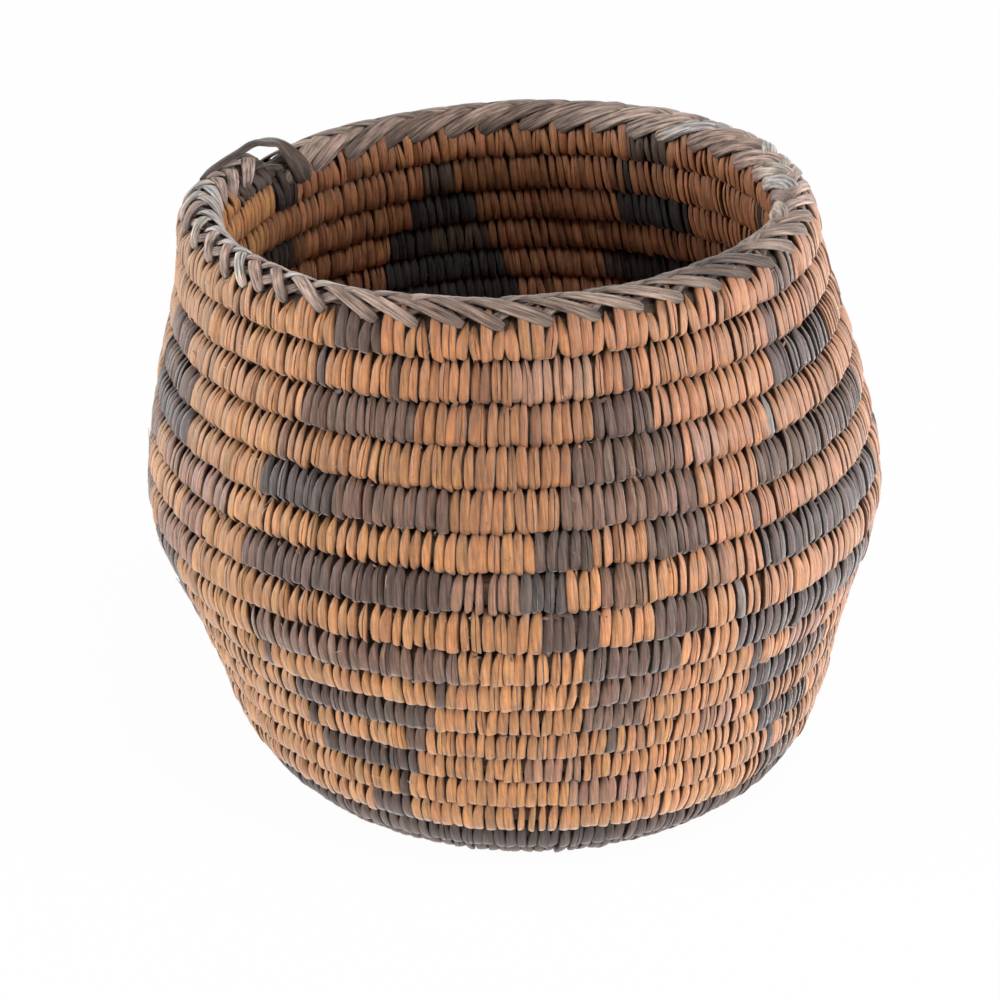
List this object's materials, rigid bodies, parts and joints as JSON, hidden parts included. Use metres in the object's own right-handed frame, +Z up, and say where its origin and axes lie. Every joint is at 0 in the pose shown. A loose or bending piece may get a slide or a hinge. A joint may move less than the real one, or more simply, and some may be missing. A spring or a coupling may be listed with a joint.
{
  "type": "coiled basket",
  "caption": "Small round coiled basket with a bellied wall, sewn turn by turn on one continuous foundation and finished with a herringbone rim braid.",
  "frame": {"origin": "on the surface that the basket stands on, under the middle of its widest turn", "axes": "+Z up, the front of the picture looks along -Y, +X to its right"},
  "size_m": [0.1193, 0.12, 0.1021],
  "materials": {
    "natural_splint": "matte split-plant sewing splint, orange tan",
    "dark_splint": "matte split-plant sewing splint, dark grey brown to charcoal",
    "braid_splint": "weathered flat splint, grey brown",
    "foundation_rods": "raw rods, brown"
  },
  "bodies": {
    "root": {"foundation_coil": "foundation_rods", "wall_course_01": "natural_splint", "wall_course_02": "natural_splint", "wall_course_03": "natural_splint", "wall_course_04": "natural_splint", "wall_course_05": "natural_splint", "wall_course_06": "natural_splint", "wall_course_07": "natural_splint", "wall_course_08": "natural_splint", "wall_course_09": "natural_splint", "wall_course_10": "natural_splint", "wall_course_11": "natural_splint", "wall_course_12": "natural_splint", "wall_course_13": "natural_splint", "wall_course_14": "natural_splint", "wall_course_15": "natural_splint", "wall_course_16": "dark_splint", "base_course_01": "natural_splint", "base_course_02": "natural_splint", "base_course_03": "natural_splint", "base_course_04": "natural_splint", "base_course_05": "natural_splint", "base_course_06": "natural_splint", "base_course_07": "natural_splint", "start_knot": "natural_splint", "rim_braid": "braid_splint", "rim_braid_end": "braid_splint"}
  },
  "joints": []
}
